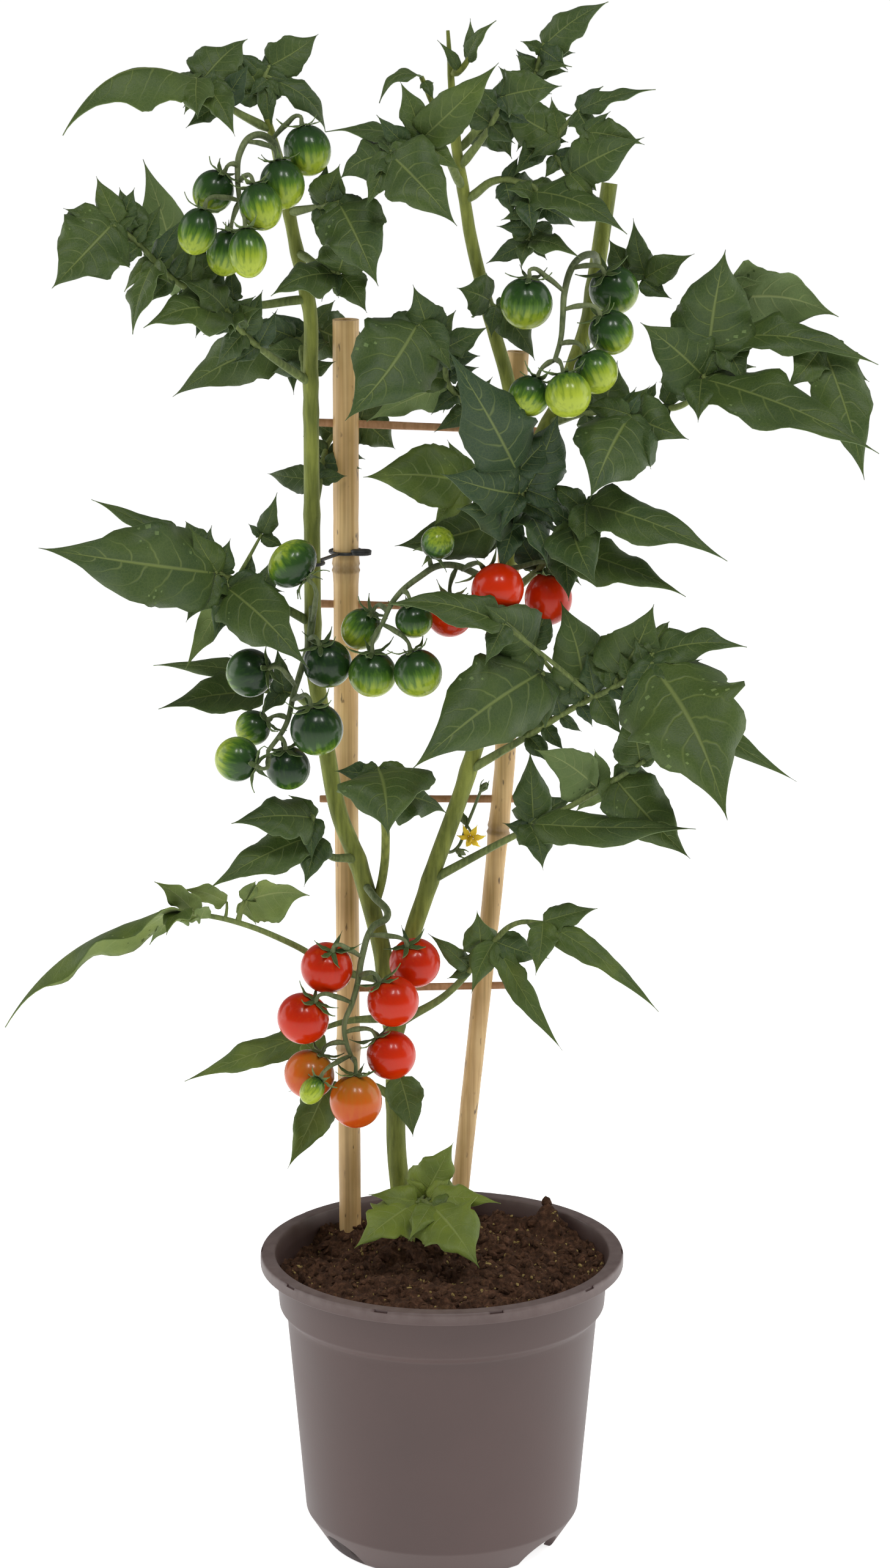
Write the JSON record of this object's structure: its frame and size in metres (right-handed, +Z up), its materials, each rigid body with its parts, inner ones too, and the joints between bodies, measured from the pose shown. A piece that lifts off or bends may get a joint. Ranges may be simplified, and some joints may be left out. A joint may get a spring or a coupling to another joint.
{
  "type": "potted tomato plant",
  "caption": "Patio cherry tomato plant with ripe and unripe fruit, tied to a bamboo ladder in a taupe plastic nursery pot.",
  "frame": {"origin": "on the pot's axis, on the ground under the pot", "axes": "+Z up along the pot's axis, -Y towards the front of the plant, +X to its right as seen from the front"},
  "size_m": [0.4354, 0.19, 0.8032],
  "materials": {
    "pot_taupe_plastic": "satin injection-moulded polypropylene",
    "potting_soil": "moist crumbly peat soil",
    "bamboo": "natural bamboo with a waxy skin",
    "rung_wood": "raw split cane",
    "tie_plastic": "black plastic plant clip",
    "stem_green": "downy green stem",
    "leaf_green": "matt leaf with a downy surface",
    "unripe_green": "glossy unripe fruit on a downy stalk",
    "ripe_red": "glossy ripe tomato skin",
    "ripe_orange": "glossy ripening tomato skin",
    "petal_yellow": "matt petals"
  },
  "bodies": {
    "root": {"pot": "pot_taupe_plastic", "soil": "potting_soil", "cane_left": "bamboo", "cane_right": "bamboo", "rung_low": "rung_wood", "rung_middle": "rung_wood", "rung_upper": "rung_wood", "rung_top": "rung_wood", "plant_tie": "tie_plastic", "stem": "stem_green", "flower_truss": "stem_green", "bloom": "petal_yellow", "leaf_left_arch": "leaf_green", "leaf_left_crown": "leaf_green", "leaf_left_upper": "leaf_green", "leaf_left_glossy": "leaf_green", "leaf_left_shaded": "leaf_green", "leaf_left_saddle": "leaf_green", "leaf_left_pennant": "leaf_green", "leaf_left_wing": "leaf_green", "leaf_left_nook": "leaf_green", "leaf_left_back": "leaf_green", "leaf_left_shelf": "leaf_green", "leaf_centre_apron": "leaf_green", "leaf_left_long": "leaf_green", "leaf_left_low": "leaf_green", "leaf_left_hanging": "leaf_green", "leaf_basal_shoot": "leaf_green", "leaf_top_spire": "leaf_green", "leaf_top_cup": "leaf_green", "leaf_top_sail": "leaf_green", "leaf_top_fan": "leaf_green", "leaf_top_branch": "leaf_green", "leaf_upper_star": "leaf_green", "leaf_upper_flag": "leaf_green", "leaf_centre_blue": "leaf_green", "leaf_centre_left": "leaf_green", "leaf_right_lower": "leaf_green", "leaf_right_big": "leaf_green", "leaf_right_swept": "leaf_green", "leaf_right_hook": "leaf_green", "leaf_far_right": "leaf_green", "leaf_right_mid": "leaf_green", "leaf_topped_small": "leaf_green", "truss_low": "unripe_green", "truss_left": "unripe_green", "truss_centre": "unripe_green", "truss_right": "unripe_green", "truss_top": "unripe_green", "tomato_low_1": "ripe_red", "tomato_low_2": "ripe_red", "tomato_low_5": "ripe_red", "tomato_low_6": "ripe_red", "tomato_low_7": "ripe_red", "tomato_centre_1": "ripe_red", "tomato_centre_2": "ripe_red", "tomato_centre_3": "ripe_red", "tomato_low_3": "ripe_orange", "tomato_low_4": "ripe_orange"}
  },
  "joints": []
}
